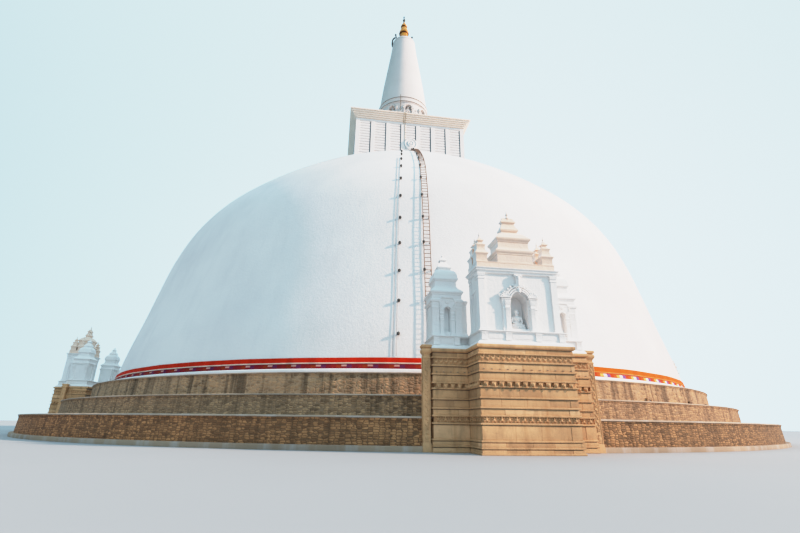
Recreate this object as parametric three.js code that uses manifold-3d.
// A solid white stupa on three round terraces, at one tenth of the size of the real monument.
// Every size below is a real metre of the monument; METRE turns it into millimetres of the part.
// The axis of the dome is Z, the ground is z = 0, and the front frontispiece faces -Y.
import * as THREE from "three";
import { mergeVertices } from "three/addons/utils/BufferGeometryUtils.js";
import Module from "manifold-3d";

const wasm = await Module();
wasm.setup();

const METRE = 100;
const CLEAR = 0.003; // running gap between neighbours that are cut or curved, in metres
const ROUND = 60; // sides of the large round solids, a multiple of four
const SLIM = 20; // sides of the spire and the drum

// Driving dimensions, in metres
const LOWER_RADIUS = 46.15;
const MIDDLE_RADIUS = 43.14;
const UPPER_RADIUS = 40.7;
const LOWER_TOP = 1.91;
const MIDDLE_TOP = 3.31;
const UPPER_TOP = 4.99;
const COPING_HEIGHT = 0.24;
const COPING_OVERHANG = 0.1;
const BATTER = 0.08; // how much wider each terrace is at its foot
const FOOT_STEP = 0.3; // depth and height of the step along the ground

const DOME_RADIUS = 38.95;
const DOME_TOP = 42.4;
const RING_RADIUS = 39.5;
const RING_TOP = 5.42;
const BAND_BOTTOM = 5.46;
const BAND_TOP = 6.25;
const BAND_THICKNESS = 0.09;

const CHAMBER_HALF = 9.43;
const CHAMBER_TOP = 50.7;
const CORNICE_TOP = 52.0;
const CORNICE_OVERHANG = 1.07;
const DISC_RADIUS = 1.14;
const DISC_HEIGHT = 46.4;
const DISC_RELIEF = 0.35;

const DRUM_RADIUS = 4.85;
const DRUM_TOP = 60.4;
const DRUM_STEP_TOP = 52.95; // top of the step round the drum's foot
const DRUM_WAIST = 57.5; // where the drum begins to draw in
const DRUM_SHOULDER = 59; // foot of the two rings under the spire
const DRUM_NICHES = 10;
const DRUM_NICHE_TURN = 3.3; // bearing of the first niche from the front, in degrees
const DRUM_NICHE_HALF = 0.62;
const DRUM_FRAME_HALF = 1.0;
const DRUM_NICHE_BOTTOM = 54.5;
const DRUM_NICHE_SPRING = 57.66;
const DRUM_FRAME_FRONT = 5.15; // distance of the frames' faces from the axis
const SPIRE_RADIUS = 4.75;
const SPIRE_TOP_RADIUS = 2.36;
const SPIRE_TOP = 77.6;
const CROWN_TOP = 79.5;
const FINIAL_RADIUS = 0.98;
const FINIAL_NECK = 0.8;
const FINIAL_SKIRT = 81; // where the gilding flares out over its neck
const FINIAL_TOP = 85.6;
const CRYSTAL_TOP = 86.2;

const BAY_HALF = 2.78; // half width of the middle bay of a frontispiece
const BAY_FRONT = 48.6;
const WING_HALF = 4.88;
const WING_FRONT = 46.45;
const BASE_BACK = 43.5;
const BASE_TOP = 5.72;
const FILLET = 0.07; // how far each moulding stands out of the stone face
const STELE_WIDTH = 0.52;
const STELE_DEPTH = 0.55;
const STELE_FRONT = 46.27;
const STELE_TOP = 5.97;
const STELE_INNER = WING_HALF + FILLET + CLEAR;
const FRONTISPIECE_HALF = STELE_INNER + STELE_WIDTH;

const PLINTH_TOP = 6.55; // white parapet above the stone
const PLINTH_FOOT = 5.98; // top of the spreading foot of the parapet
const LEDGE = 0.08; // thickness of the parapet's top ledge
const PARAPET_IN = 0.22; // how far the parapet stands back from the stone face
const PARAPET_PILASTER = 0.21; // half width
const PARAPET_RELIEF = 0.08;
const TOWER_HALF = 2.5;
const TOWER_FRONT = 48.15;
const TOWER_BACK = 46.35;
const TOWER_TOP = 9.95;
const TOWER_CORNICE_TOP = 10.4;
const TOWER_PILASTER = 0.19; // half width of the pilasters at the tower's corners
const TOWER_RELIEF = 0.12;
const NICHE_HALF = 0.54;
const NICHE_SPRING = 8.34;
const NICHE_DEPTH = 0.95;
const NICHE_COLUMN = 0.25; // half width of the half columns beside the niche
const HOOD_PEAK = 9.85; // tip of the pointed hood over the niche
const CHAPEL_CENTRE = 3.83;
const CHAPEL_HALF = 0.98;
const CHAPEL_FRONT = 45.98;
const CHAPEL_BACK = 44.1;
const CHAPEL_TOP = 8.62;
const CHAPEL_NICHE_HALF = 0.18;
const CHAPEL_NICHE_DEPTH = 0.35;
const CHAPEL_NICHE_SPRING = 8.2;
const CHAPEL_HOOD_HALF = 0.5;
const CHAPEL_HOOD_FOOT = 8.25;
const CHAPEL_HOOD_PEAK = 9.04;
const CHAPEL_PILASTER = 0.22; // half width of the pilasters at the chapel's corners
const CHAPEL_RELIEF = 0.07;

// Joining and cutting
function solid(geometry) {
  const bare = geometry.index ? geometry.toNonIndexed() : geometry.clone();
  bare.deleteAttribute("normal");
  bare.deleteAttribute("uv");
  const merged = mergeVertices(bare, 1e-5);
  const made = new wasm.Manifold(
    new wasm.Mesh({
      numProp: 3,
      vertProperties: merged.attributes.position.array,
      triVerts: new Uint32Array(merged.index.array),
    }),
  );
  if (made.volume() > 0) return made;
  const turned = new Uint32Array(merged.index.array);
  for (let i = 0; i < turned.length; i += 3) {
    [turned[i], turned[i + 1]] = [turned[i + 1], turned[i]];
  }
  return new wasm.Manifold(
    new wasm.Mesh({ numProp: 3, vertProperties: merged.attributes.position.array, triVerts: turned }),
  );
}

function join(pieces) {
  return pieces.reduce((whole, piece) => whole.add(piece));
}

function surface(made) {
  const mesh = made.getMesh();
  const geometry = new THREE.BufferGeometry();
  geometry.setAttribute("position", new THREE.BufferAttribute(new Float32Array(mesh.vertProperties), 3));
  geometry.setIndex(new THREE.BufferAttribute(new Uint32Array(mesh.triVerts), 1));
  geometry.scale(METRE, METRE, METRE);
  geometry.computeVertexNormals();
  return geometry;
}

// Basic solids: profiles are lists of [radius or offset, height] from the bottom to the top
function turned(profile, sides) {
  const points = profile.map(([radius, height]) => new THREE.Vector2(radius, height));
  const geometry = new THREE.LatheGeometry(points, sides, 0, 2 * Math.PI);
  geometry.rotateX(Math.PI / 2);
  return solid(geometry);
}

function box(x0, x1, y0, y1, z0, z1) {
  const geometry = new THREE.BoxGeometry(x1 - x0, y1 - y0, z1 - z0);
  geometry.translate((x0 + x1) / 2, (y0 + y1) / 2, (z0 + z1) / 2);
  return solid(geometry);
}

// A rectangular block with the same moulded profile on its four sides
function moulded(halfX, halfY, profile) {
  const half = Math.min(halfX, halfY);
  const points = [new THREE.Vector2(0, profile[0][1])];
  for (const [offset, height] of profile) {
    points.push(new THREE.Vector2((half + offset) * Math.SQRT2, height));
  }
  points.push(new THREE.Vector2(0, profile[profile.length - 1][1]));
  const geometry = new THREE.LatheGeometry(points, 4, Math.PI / 4);
  geometry.rotateX(Math.PI / 2);
  const position = geometry.attributes.position;
  for (let i = 0; i < position.count; i++) {
    const [x, y] = [position.getX(i), position.getY(i)];
    if (Math.abs(x) < 1e-6) continue;
    position.setXY(i, x + Math.sign(x) * (halfX - half), y + Math.sign(y) * (halfY - half));
  }
  return solid(geometry);
}

function arched(half, spring, bottom, front, depth) {
  const shape = new THREE.Shape();
  shape.moveTo(-half, bottom);
  shape.lineTo(half, bottom);
  shape.lineTo(half, spring);
  shape.absarc(0, spring, half, 0, Math.PI, false);
  shape.closePath();
  const geometry = new THREE.ExtrudeGeometry(shape, { depth, bevelEnabled: false, curveSegments: 10 });
  geometry.rotateX(Math.PI / 2);
  geometry.translate(0, front, 0);
  return solid(geometry);
}

// A pointed hood over a niche, drawn with two curves that meet in a narrow tip
function hood(half, foot, peak, front, depth) {
  const tip = half * 0.12;
  const swell = (peak - foot) * 0.62;
  const shape = new THREE.Shape();
  shape.moveTo(-half, foot);
  shape.lineTo(half, foot);
  shape.bezierCurveTo(half, foot + swell, half * 0.25, foot + swell, tip, peak);
  shape.lineTo(-tip, peak);
  shape.bezierCurveTo(-half * 0.25, foot + swell, -half, foot + swell, -half, foot);
  const geometry = new THREE.ExtrudeGeometry(shape, { depth, bevelEnabled: false, curveSegments: 8 });
  geometry.rotateX(Math.PI / 2);
  geometry.translate(0, front, 0);
  return solid(geometry);
}

// A flat pilaster on a wall that faces -Y, with a foot and a capital
function pilaster(x, half, relief, wall, bottom, top) {
  const step = Math.min(0.05, half / 4);
  const foot = bottom + half;
  const neck = top - 1.2 * half;
  return moulded(half - step, relief, [
    [step, bottom],
    [step, foot],
    [0, foot + step],
    [0, neck],
    [step, neck + step],
    [step, top],
  ]).translate([x, -wall, 0]);
}

// Terraces
function cylinder(radius, bottom, top, sides) {
  return turned(
    [
      [0, bottom],
      [radius, bottom],
      [radius, top],
      [0, top],
    ],
    sides,
  );
}

function terrace(radius, bottom, top) {
  const profile = [
    [0, bottom],
    [radius + BATTER, bottom],
    [radius, top - COPING_HEIGHT],
    [radius + COPING_OVERHANG, top - COPING_HEIGHT],
    [radius + COPING_OVERHANG, top - COPING_HEIGHT / 4],
    [radius, top],
    [0, top],
  ];
  return turned(profile, ROUND);
}

// The lowest terrace also has a step along the ground, which stops at the frontispieces
function lowerTerrace() {
  const stop = FRONTISPIECE_HALF + CLEAR;
  let step = cylinder(LOWER_RADIUS + BATTER + FOOT_STEP, 0, FOOT_STEP, ROUND);
  for (let side = 0; side < 4; side++) {
    const room = new THREE.BoxGeometry(2 * stop, 10, 4 * FOOT_STEP);
    room.translate(0, -LOWER_RADIUS, 0);
    room.rotateZ((side * Math.PI) / 2);
    step = step.subtract(solid(room));
  }
  return step.add(terrace(LOWER_RADIUS, 0, LOWER_TOP));
}

function lowerTerraceClearance() {
  return cylinder(LOWER_RADIUS + COPING_OVERHANG + CLEAR, -1, LOWER_TOP, ROUND);
}

// Dome: a long straight taper below a rounded shoulder
const DOME_PROFILE = [
  [DOME_RADIUS, UPPER_TOP],
  [38.07, 9.02],
  [37.06, 12.9],
  [36.13, 16.77],
  [35.1, 20.69],
  [33.62, 24.49],
  [31.47, 27.89],
  [28.69, 30.85],
  [25.68, 33.55],
  [22.53, 36.05],
  [19.17, 38.23],
  [15.56, 39.98],
  [11.77, 41.25],
  [7.87, 42.05],
  [0, DOME_TOP],
];

function domeRadiusAt(height) {
  const above = DOME_PROFILE.findIndex(([, z]) => z >= height);
  if (above <= 0) return DOME_RADIUS;
  const [[r0, z0], [r1, z1]] = [DOME_PROFILE[above - 1], DOME_PROFILE[above]];
  return r0 + ((r1 - r0) * (height - z0)) / (z1 - z0);
}

function dome() {
  return turned([[0, UPPER_TOP], ...DOME_PROFILE], ROUND);
}

function domeClearance() {
  const grown = DOME_PROFILE.slice(0, -1).map(([r, z]) => [r + 2 * CLEAR, z + CLEAR]);
  return turned([[0, 0], [DOME_RADIUS + 2 * CLEAR, 0], ...grown, [0, DOME_TOP + CLEAR]], ROUND);
}

function domeFootRing() {
  const inner = DOME_RADIUS + CLEAR;
  const ring = [
    [inner, UPPER_TOP],
    [RING_RADIUS, UPPER_TOP],
    [RING_RADIUS, RING_TOP - 0.08],
    [RING_RADIUS - 0.08, RING_TOP],
    [inner, RING_TOP],
    [inner, UPPER_TOP],
  ];
  return turned(ring, ROUND);
}

function clothBand() {
  const inner = [domeRadiusAt(BAND_BOTTOM) + 0.006, domeRadiusAt(BAND_TOP) + 0.006];
  const band = [
    [inner[0], BAND_BOTTOM],
    [inner[0] + BAND_THICKNESS, BAND_BOTTOM],
    [inner[1] + BAND_THICKNESS, BAND_TOP],
    [inner[1], BAND_TOP],
    [inner[0], BAND_BOTTOM],
  ];
  return turned(band, ROUND);
}

// Square chamber on the dome, its relief railing and its cornice
const CHAMBER_FOOT = 38; // inside the dome, which cuts the chamber's underside
const PANELS = 7;
const PANEL_POST = 0.62;
const PANEL_RECESS = 0.16;
const PANEL_BOTTOM = 42.85;
const PANEL_TOP = 50.3;

function chamber() {
  const pitch = (2 * CHAMBER_HALF - PANEL_POST) / PANELS;
  let walls = moulded(CHAMBER_HALF, CHAMBER_HALF, [
    [0, CHAMBER_FOOT],
    [0, CHAMBER_TOP],
  ]).subtract(domeClearance());
  for (let side = 0; side < 4; side++) {
    for (let i = 0; i < PANELS; i++) {
      const x = -CHAMBER_HALF + PANEL_POST + i * pitch;
      const wall = -CHAMBER_HALF;
      const panel = box(x, x + pitch - PANEL_POST, wall - 1, wall + PANEL_RECESS, PANEL_BOTTOM, PANEL_TOP);
      walls = walls.subtract(panel.rotate([0, 0, 90 * side]));
    }
    const disc = new THREE.CylinderGeometry(DISC_RADIUS, DISC_RADIUS, DISC_RELIEF + PANEL_RECESS, 24);
    disc.translate(0, -CHAMBER_HALF - (DISC_RELIEF - PANEL_RECESS) / 2, DISC_HEIGHT);
    disc.rotateZ((side * Math.PI) / 2);
    walls = walls.add(solid(disc));
  }
  return walls;
}

function chamberCornice() {
  const steps = 5;
  const height = (CORNICE_TOP - CHAMBER_TOP) / steps;
  const profile = [];
  for (let i = 0; i < steps; i++) {
    const offset = (CORNICE_OVERHANG * (i + 1)) / steps;
    profile.push([offset, CHAMBER_TOP + i * height], [offset, CHAMBER_TOP + (i + 1) * height]);
  }
  return moulded(CHAMBER_HALF, CHAMBER_HALF, profile);
}

// Drum, spire, crown and finial
function deityDrum() {
  const [lowerRing, upperRing] = [DRUM_RADIUS + 0.12, DRUM_RADIUS + 0.06];
  let drum = turned(
    [
      [0, CORNICE_TOP],
      [DRUM_RADIUS + 0.9, CORNICE_TOP],
      [DRUM_RADIUS + 0.9, DRUM_STEP_TOP],
      [DRUM_RADIUS + 0.45, DRUM_STEP_TOP + 0.35],
      [DRUM_RADIUS + 0.15, DRUM_STEP_TOP + 1.3],
      [DRUM_RADIUS, DRUM_WAIST],
      [DRUM_RADIUS - 0.1, DRUM_SHOULDER],
      [lowerRing, DRUM_SHOULDER + 0.1],
      [lowerRing, DRUM_SHOULDER + 0.5],
      [DRUM_RADIUS - 0.02, DRUM_SHOULDER + 0.62],
      [upperRing, DRUM_SHOULDER + 0.72],
      [upperRing, DRUM_SHOULDER + 1.1],
      [SPIRE_RADIUS + 0.1, DRUM_TOP],
      [0, DRUM_TOP],
    ],
    SLIM,
  );
  const [spring, bottom] = [DRUM_NICHE_SPRING, DRUM_NICHE_BOTTOM];
  const frame = arched(DRUM_FRAME_HALF, spring, bottom - 0.2, 0, DRUM_FRAME_FRONT);
  const hollow = arched(DRUM_NICHE_HALF, spring, bottom, 0.35 - DRUM_FRAME_FRONT, 1);
  for (let i = 0; i < DRUM_NICHES; i++) {
    const turn = [0, 0, DRUM_NICHE_TURN + (360 * i) / DRUM_NICHES];
    drum = drum.add(frame.rotate(turn)).subtract(hollow.rotate(turn));
  }
  return drum;
}

function spire() {
  return turned(
    [
      [0, DRUM_TOP],
      [SPIRE_RADIUS, DRUM_TOP],
      [(SPIRE_RADIUS + SPIRE_TOP_RADIUS) / 2 - 0.02, (DRUM_TOP + SPIRE_TOP) / 2],
      [SPIRE_TOP_RADIUS, SPIRE_TOP],
      [0, SPIRE_TOP],
    ],
    SLIM,
  );
}

function spireCrown() {
  return turned(
    [
      [0, SPIRE_TOP],
      [SPIRE_TOP_RADIUS - 0.04, SPIRE_TOP],
      [SPIRE_TOP_RADIUS, SPIRE_TOP + 0.15],
      [SPIRE_TOP_RADIUS, SPIRE_TOP + 0.4],
      [SPIRE_TOP_RADIUS - 0.12, SPIRE_TOP + 0.72],
      [SPIRE_TOP_RADIUS - 0.46, SPIRE_TOP + 1],
      [1.1, CROWN_TOP],
      [0, CROWN_TOP],
    ],
    SLIM,
  );
}

function giltFinial() {
  return turned(
    [
      [0, CROWN_TOP],
      [FINIAL_NECK + 0.08, CROWN_TOP],
      [FINIAL_NECK, CROWN_TOP + 0.3],
      [FINIAL_NECK, FINIAL_SKIRT - 0.1],
      [FINIAL_RADIUS, FINIAL_SKIRT + 0.05],
      [FINIAL_RADIUS, FINIAL_SKIRT + 1.1],
      [0.72, FINIAL_SKIRT + 1.75],
      [0.78, FINIAL_SKIRT + 2.1],
      [0.5, FINIAL_SKIRT + 2.95],
      [0.33, FINIAL_SKIRT + 3.65],
      [0.14, FINIAL_SKIRT + 3.8],
      [0.24, FINIAL_TOP - 0.5],
      [0.13, FINIAL_TOP - 0.25],
      [0.13, FINIAL_TOP],
      [0, FINIAL_TOP],
    ],
    16,
  );
}

function crystalTip() {
  return turned(
    [
      [0, FINIAL_TOP],
      [0.12, FINIAL_TOP],
      [0.22, FINIAL_TOP + 0.25],
      [0.13, FINIAL_TOP + 0.45],
      [0, CRYSTAL_TOP],
    ],
    12,
  );
}

// Ladder up the front of the dome: its foot, bends and head as [bearing from the front in degrees, height]
const LADDER_ROUTE = [
  [-4.8, 6.6],
  [-4.8, 12],
  [-4.7, 20],
  [-4.6, 25],
  [-4.3, 29],
  [-4.1, 33],
  [-3.9, 37],
  [-3.7, 40.6],
];
const LADDER_HALF = 0.32;
const LADDER_RAIL = 0.07;
const LADDER_STAND = 0.3;
const LADDER_RUNGS = 22;
const LADDER_STEPS = 20;
const LADDER_STAYS = 6;

// A point that stands off the dome's surface, at right angles to it
function ladderPoint(bearing, height, side, stand) {
  const angle = (bearing * Math.PI) / 180;
  const slope = Math.atan(domeRadiusAt(height - 0.5) - domeRadiusAt(height + 0.5));
  const radius = domeRadiusAt(height) + stand * Math.cos(slope);
  const x = radius * Math.sin(angle) + side * Math.cos(angle);
  const y = -radius * Math.cos(angle) + side * Math.sin(angle);
  return new THREE.Vector3(x, y, height + stand * Math.sin(slope));
}

// A square bar along a curve
function bar(path, steps) {
  const square = new THREE.Shape();
  square.moveTo(-LADDER_RAIL, -LADDER_RAIL);
  square.lineTo(LADDER_RAIL, -LADDER_RAIL);
  square.lineTo(LADDER_RAIL, LADDER_RAIL);
  square.lineTo(-LADDER_RAIL, LADDER_RAIL);
  square.closePath();
  return solid(new THREE.ExtrudeGeometry(square, { steps, bevelEnabled: false, extrudePath: path }));
}

function domeLadder() {
  const places = LADDER_ROUTE.map(([bearing, height]) => new THREE.Vector3(bearing, height, 0));
  const route = new THREE.CatmullRomCurve3(places);
  const pieces = [];
  for (const side of [-LADDER_HALF, LADDER_HALF]) {
    const at = (p, stand) => ladderPoint(p.x, p.y, side, stand);
    const rail = route.getSpacedPoints(LADDER_STEPS).map((p) => at(p, LADDER_STAND));
    pieces.push(bar(new THREE.CatmullRomCurve3(rail), LADDER_STEPS));
    for (const p of route.getSpacedPoints(LADDER_STAYS).slice(1)) {
      pieces.push(bar(new THREE.LineCurve3(at(p, LADDER_STAND), at(p, -LADDER_STAND)), 1));
    }
  }
  for (const p of route.getSpacedPoints(LADDER_RUNGS).slice(1, -1)) {
    const left = ladderPoint(p.x, p.y, -LADDER_HALF, LADDER_STAND);
    const right = ladderPoint(p.x, p.y, LADDER_HALF, LADDER_STAND);
    const rung = new THREE.BoxGeometry(left.distanceTo(right), LADDER_RAIL, LADDER_RAIL);
    rung.rotateZ(Math.atan2(right.y - left.y, right.x - left.x));
    rung.translate((left.x + right.x) / 2, (left.y + right.y) / 2, left.z);
    pieces.push(solid(rung));
  }
  return join(pieces).subtract(domeClearance());
}

// Frontispieces. Each is built facing -Y and turned to its side of the stupa
function plan(offset, wingOffset) {
  const shape = new THREE.Shape();
  const [bay, wing] = [BAY_HALF + offset, WING_HALF + wingOffset];
  shape.moveTo(-wing, -BASE_BACK);
  shape.lineTo(-wing, -WING_FRONT - offset);
  shape.lineTo(-bay, -WING_FRONT - offset);
  shape.lineTo(-bay, -BAY_FRONT - offset);
  shape.lineTo(bay, -BAY_FRONT - offset);
  shape.lineTo(bay, -WING_FRONT - offset);
  shape.lineTo(wing, -WING_FRONT - offset);
  shape.lineTo(wing, -BASE_BACK);
  shape.closePath();
  return shape;
}

function course(offset, bottom, top, wingOffset = offset) {
  const shape = plan(offset, wingOffset);
  const geometry = new THREE.ExtrudeGeometry(shape, { depth: top - bottom, bevelEnabled: false });
  geometry.translate(0, 0, bottom);
  return solid(geometry);
}

const STONE_LINES = [0.62, 1.48, 1.89, 2.81, 4.2, 4.69]; // tops of the thin fillets
const FILLET_HEIGHT = 0.1;
const BRACKET_BOTTOM = 3.38; // the row of brackets half way up
const BRACKET_TOP = 3.71;
const BRACKET_RELIEF = 0.16;

function stoneBase() {
  const pieces = [
    course(0, 0, BASE_TOP),
    course(0.12, 0, FOOT_STEP, FILLET),
    course(BRACKET_RELIEF, BRACKET_BOTTOM, BRACKET_TOP, FILLET),
    course(0.12, BASE_TOP - 0.22, BASE_TOP, FILLET),
  ];
  for (const top of STONE_LINES) pieces.push(course(FILLET, top - FILLET_HEIGHT, top));
  return join(pieces).subtract(lowerTerraceClearance());
}

function stele(side) {
  const centre = side * (STELE_INNER + STELE_WIDTH / 2);
  const shaft = moulded(STELE_WIDTH / 2 - 0.04, STELE_DEPTH / 2 - 0.03, [
    [0.04, 0],
    [0.04, 0.5],
    [0, 0.55],
    [0, 5.25],
    [0.03, 5.3],
    [0.03, 5.42],
    [0, 5.46],
    [0.04, 5.55],
    [0.04, STELE_TOP],
  ]);
  return shaft.translate([centre, -STELE_FRONT + STELE_DEPTH / 2, 0]).subtract(lowerTerraceClearance());
}

function shrine() {
  const depth = (TOWER_FRONT - TOWER_BACK) / 2;
  const middle = -(TOWER_FRONT + TOWER_BACK) / 2;
  const ledge = PLINTH_TOP - LEDGE;
  const pieces = [
    course(-0.1, BASE_TOP, PLINTH_FOOT, 0),
    course(-PARAPET_IN, PLINTH_FOOT, ledge, -0.05),
    course(-0.12, ledge, PLINTH_TOP, 0),
  ];
  const parapetPilasters = (places, wall) => {
    for (const x of places) {
      const [left, right] = [x - PARAPET_PILASTER, x + PARAPET_PILASTER];
      pieces.push(box(left, right, -wall - PARAPET_RELIEF, -wall + 0.1, PLINTH_FOOT, ledge));
    }
  };
  parapetPilasters([-2.34, -0.9, 0.9, 2.34], BAY_FRONT - PARAPET_IN);
  parapetPilasters([-4.6, -3.2, 3.2, 4.6], WING_FRONT - PARAPET_IN);
  pieces.push(
    moulded(TOWER_HALF - 0.06, depth - 0.06, [
      [0.06, PLINTH_TOP],
      [0.06, PLINTH_TOP + 0.25],
      [0, PLINTH_TOP + 0.3],
      [0, TOWER_TOP - 0.05],
      [0.12, TOWER_TOP],
      [0.12, TOWER_TOP + 0.24],
      [0.18, TOWER_TOP + 0.28],
      [0.18, TOWER_CORNICE_TOP],
    ]).translate([0, middle, 0]),
    moulded(TOWER_HALF + 0.06, depth + 0.06, [
      [0, TOWER_TOP],
      [0, TOWER_TOP + 0.24],
      [0.08, TOWER_TOP + 0.28],
      [0.08, TOWER_CORNICE_TOP],
    ]).translate([0, middle - 0.08, 0]),
  );
  for (const side of [-1, 1]) {
    const corner = side * (TOWER_HALF - TOWER_PILASTER - 0.04);
    const column = side * (NICHE_HALF + NICHE_COLUMN + 0.01);
    pieces.push(
      pilaster(corner, TOWER_PILASTER, TOWER_RELIEF, TOWER_FRONT - 0.03, PLINTH_TOP, TOWER_TOP),
      pilaster(column, NICHE_COLUMN, TOWER_RELIEF, TOWER_FRONT - 0.03, PLINTH_TOP, NICHE_SPRING + 0.1),
    );
  }
  pieces.push(hood(NICHE_HALF + 0.35, NICHE_SPRING, HOOD_PEAK, -TOWER_FRONT + 0.2, 0.32));
  const back = -TOWER_FRONT + NICHE_DEPTH;
  const niche = arched(NICHE_HALF, NICHE_SPRING, PLINTH_TOP + 0.2, back, NICHE_DEPTH + 0.5);
  return join(pieces).subtract(niche);
}

function turret(x, y, base) {
  return moulded(0.36, 0.36, [
    [-0.02, base],
    [-0.02, base + 0.5],
    [0.06, base + 0.58],
    [0.06, base + 0.66],
    [-0.08, base + 0.95],
    [-0.04, base + 1.15],
    [-0.16, base + 1.45],
    [-0.22, base + 1.6],
    [-0.32, base + TURRET_HEIGHT],
  ]).translate([x, y, 0]);
}

const ATTIC = 0.42; // height of the slab under the tiers
const TURRET_HEIGHT = 2.08;
const TURRET_CENTRE = 2.12;
const TURRET_APART = 0.46; // from the roof's middle to the centres of its turrets

function shrineRoof() {
  const middle = -(TOWER_FRONT + TOWER_BACK) / 2;
  const base = TOWER_CORNICE_TOP;
  const attic = moulded(TOWER_HALF, (TOWER_FRONT - TOWER_BACK) / 2, [
    [0.04, base],
    [0, base + ATTIC],
  ]).translate([0, middle, 0]);
  const tiers = moulded(1.12, 0.82, [
    [0, base + ATTIC - 0.02],
    [0, base + 1.02],
    [0.1, base + 1.12],
    [0.1, base + 1.22],
    [-0.12, base + 1.42],
    [-0.12, base + 1.9],
    [0.02, base + 2],
    [0.02, base + 2.1],
    [-0.3, base + 2.5],
    [-0.62, base + 2.82],
    [-0.56, base + 2.95],
    [-0.7, base + 3.25],
    [-0.68, base + 3.6],
    [-0.77, base + 4.42],
  ]).translate([0, middle, 0]);
  const pieces = [attic, tiers];
  for (const x of [-TURRET_CENTRE, TURRET_CENTRE]) {
    for (const y of [middle - TURRET_APART, middle + TURRET_APART]) pieces.push(turret(x, y, base + ATTIC - 0.02));
  }
  return join(pieces);
}

// A flat-topped gable over a chapel's niche
function gable() {
  const shape = new THREE.Shape();
  const [half, top] = [CHAPEL_HOOD_HALF, CHAPEL_HOOD_HALF * 0.64];
  shape.moveTo(-half * 0.84, CHAPEL_HOOD_FOOT);
  shape.lineTo(half * 0.84, CHAPEL_HOOD_FOOT);
  shape.lineTo(half, CHAPEL_HOOD_PEAK - 0.24);
  shape.lineTo(top, CHAPEL_HOOD_PEAK);
  shape.lineTo(-top, CHAPEL_HOOD_PEAK);
  shape.lineTo(-half, CHAPEL_HOOD_PEAK - 0.24);
  shape.closePath();
  const geometry = new THREE.ExtrudeGeometry(shape, { depth: 0.3, bevelEnabled: false });
  geometry.rotateX(Math.PI / 2);
  geometry.translate(0, -CHAPEL_FRONT + 0.15, 0);
  return solid(geometry);
}

function chapel(side) {
  const depth = (CHAPEL_FRONT - CHAPEL_BACK) / 2;
  const middle = -(CHAPEL_FRONT + CHAPEL_BACK) / 2;
  const body = moulded(CHAPEL_HALF - 0.05, depth - 0.05, [
    [0.05, PLINTH_TOP],
    [0.05, PLINTH_TOP + 0.22],
    [0, PLINTH_TOP + 0.26],
    [0, CHAPEL_TOP - 0.05],
    [0.14, CHAPEL_TOP],
    [0.14, 8.92],
    [0.02, 8.96],
    [0.02, 9.28],
    [0.14, 9.38],
    [0.14, 9.46],
    [-0.22, 9.86],
    [-0.22, 10.22],
    [-0.12, 10.32],
    [-0.12, 10.42],
    [-0.2, 10.78],
    [-0.46, 11],
    [-0.52, 11.32],
    [-0.7, 11.7],
    [-0.68, 11.86],
    [-0.84, 12.24],
  ]).translate([side * CHAPEL_CENTRE, middle, 0]);
  const linkInner = TOWER_HALF + CLEAR;
  const linkOuter = CHAPEL_CENTRE - CHAPEL_HALF + 0.1;
  const [x0, x1] = side > 0 ? [linkInner, linkOuter] : [-linkOuter, -linkInner];
  const link = box(x0, x1, -CHAPEL_FRONT + 0.12, -CHAPEL_BACK - 0.1, PLINTH_TOP, 8.92);
  const [wall, capital] = [CHAPEL_FRONT - 0.05, CHAPEL_TOP];
  const frame = [gable()];
  for (const end of [-1, 1]) {
    const corner = end * (CHAPEL_HALF - CHAPEL_PILASTER - 0.02);
    const column = end * (CHAPEL_NICHE_HALF + 0.16);
    frame.push(
      pilaster(corner, CHAPEL_PILASTER, CHAPEL_RELIEF, wall, PLINTH_TOP, capital),
      pilaster(column, 0.13, CHAPEL_RELIEF + 0.03, wall, PLINTH_TOP, CHAPEL_HOOD_FOOT + 0.02),
    );
  }
  const back = -CHAPEL_FRONT + CHAPEL_NICHE_DEPTH;
  const niche = arched(CHAPEL_NICHE_HALF, CHAPEL_NICHE_SPRING, PLINTH_TOP + 0.3, back, 1);
  const front = join(frame).translate([side * CHAPEL_CENTRE, 0, 0]);
  return join([body, link, front]).subtract(niche.translate([side * CHAPEL_CENTRE, 0, 0]));
}

// A plain seated figure with folded legs, for the arched niche
function seatedFigure() {
  const ball = (radius, scale, place) => {
    const geometry = new THREE.SphereGeometry(radius, 8, 6);
    geometry.scale(...scale);
    geometry.translate(...place);
    return solid(geometry);
  };
  const floor = PLINTH_TOP + 0.2;
  const y = -TOWER_FRONT + NICHE_DEPTH - 0.4;
  const seat = box(-0.42, 0.42, y - 0.28, y + 0.3, floor, floor + 0.22);
  const neck = box(-0.06, 0.06, y, y + 0.12, floor + 0.6, floor + 1.1);
  const legs = ball(0.36, [1.05, 0.72, 0.36], [0, y - 0.02, floor + 0.32]);
  const body = ball(0.23, [0.95, 0.7, 1.5], [0, y + 0.08, floor + 0.62]);
  const shoulders = ball(0.25, [1.0, 0.55, 0.5], [0, y + 0.08, floor + 0.84]);
  const head = ball(0.14, [0.9, 0.95, 1.15], [0, y + 0.05, floor + 1.12]);
  return join([seat, legs, body, shoulders, neck, head]);
}

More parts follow.
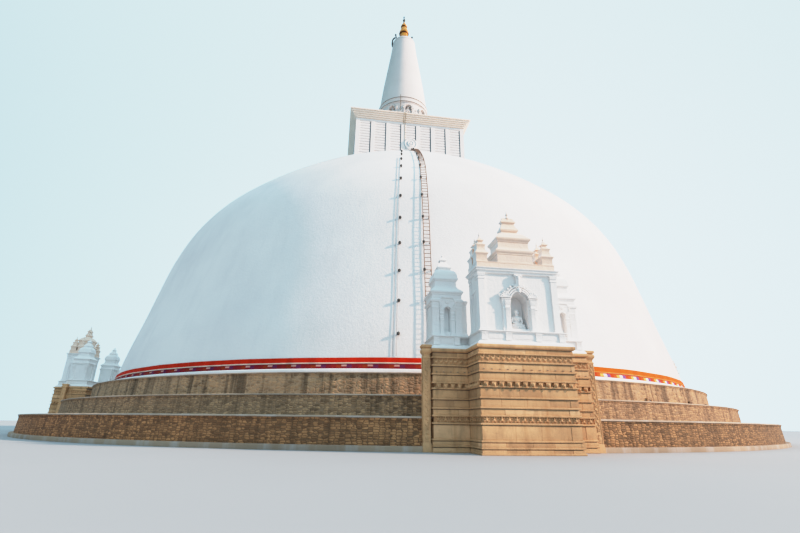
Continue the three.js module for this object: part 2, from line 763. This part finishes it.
// Materials and the finished scene
const MATERIALS = {
  weathered_masonry: { color: 0x8f7f6a, roughness: 0.95, metalness: 0 },
  limewash: { color: 0xe9e2df, roughness: 0.85, metalness: 0 },
  carved_stone: { color: 0xb08a5c, roughness: 0.9, metalness: 0 },
  orange_cloth: { color: 0xe0531f, roughness: 0.9, metalness: 0 },
  gilding: { color: 0xb9904a, roughness: 0.35, metalness: 1 },
  crystal: { color: 0xdfe8ee, roughness: 0.1, metalness: 0 },
  rusted_steel: { color: 0x8a6048, roughness: 0.8, metalness: 0.4 },
};

function node(name, made, material) {
  const mesh = new THREE.Mesh(surface(made), new THREE.MeshStandardMaterial(MATERIALS[material]));
  mesh.name = name;
  return mesh;
}

const stupa = new THREE.Group();
stupa.add(
  node("lower_terrace", lowerTerrace(), "weathered_masonry"),
  node("middle_terrace", terrace(MIDDLE_RADIUS, LOWER_TOP, MIDDLE_TOP), "weathered_masonry"),
  node("upper_terrace", terrace(UPPER_RADIUS, MIDDLE_TOP, UPPER_TOP), "weathered_masonry"),
  node("dome", dome(), "limewash"),
  node("dome_foot_ring", domeFootRing(), "limewash"),
  node("cloth_band", clothBand(), "orange_cloth"),
  node("chamber", chamber(), "limewash"),
  node("chamber_cornice", chamberCornice(), "limewash"),
  node("deity_drum", deityDrum(), "limewash"),
  node("spire", spire(), "limewash"),
  node("spire_crown", spireCrown(), "limewash"),
  node("gilt_finial", giltFinial(), "gilding"),
  node("crystal_tip", crystalTip(), "crystal"),
  node("dome_ladder", domeLadder(), "rusted_steel"),
);

["front", "right", "back", "left"].forEach((side, i) => {
  const frontispiece = new THREE.Group();
  frontispiece.rotation.z = (i * Math.PI) / 2;
  frontispiece.add(
    node(`${side}_stone_base`, stoneBase(), "carved_stone"),
    node(`${side}_stele_left`, stele(-1), "carved_stone"),
    node(`${side}_stele_right`, stele(1), "carved_stone"),
    node(`${side}_shrine`, shrine(), "limewash"),
    node(`${side}_shrine_roof`, shrineRoof(), "limewash"),
    node(`${side}_chapel_left`, chapel(-1), "limewash"),
    node(`${side}_chapel_right`, chapel(1), "limewash"),
    node(`${side}_seated_figure`, seatedFigure(), "limewash"),
  );
  stupa.add(frontispiece);
});

export default stupa;
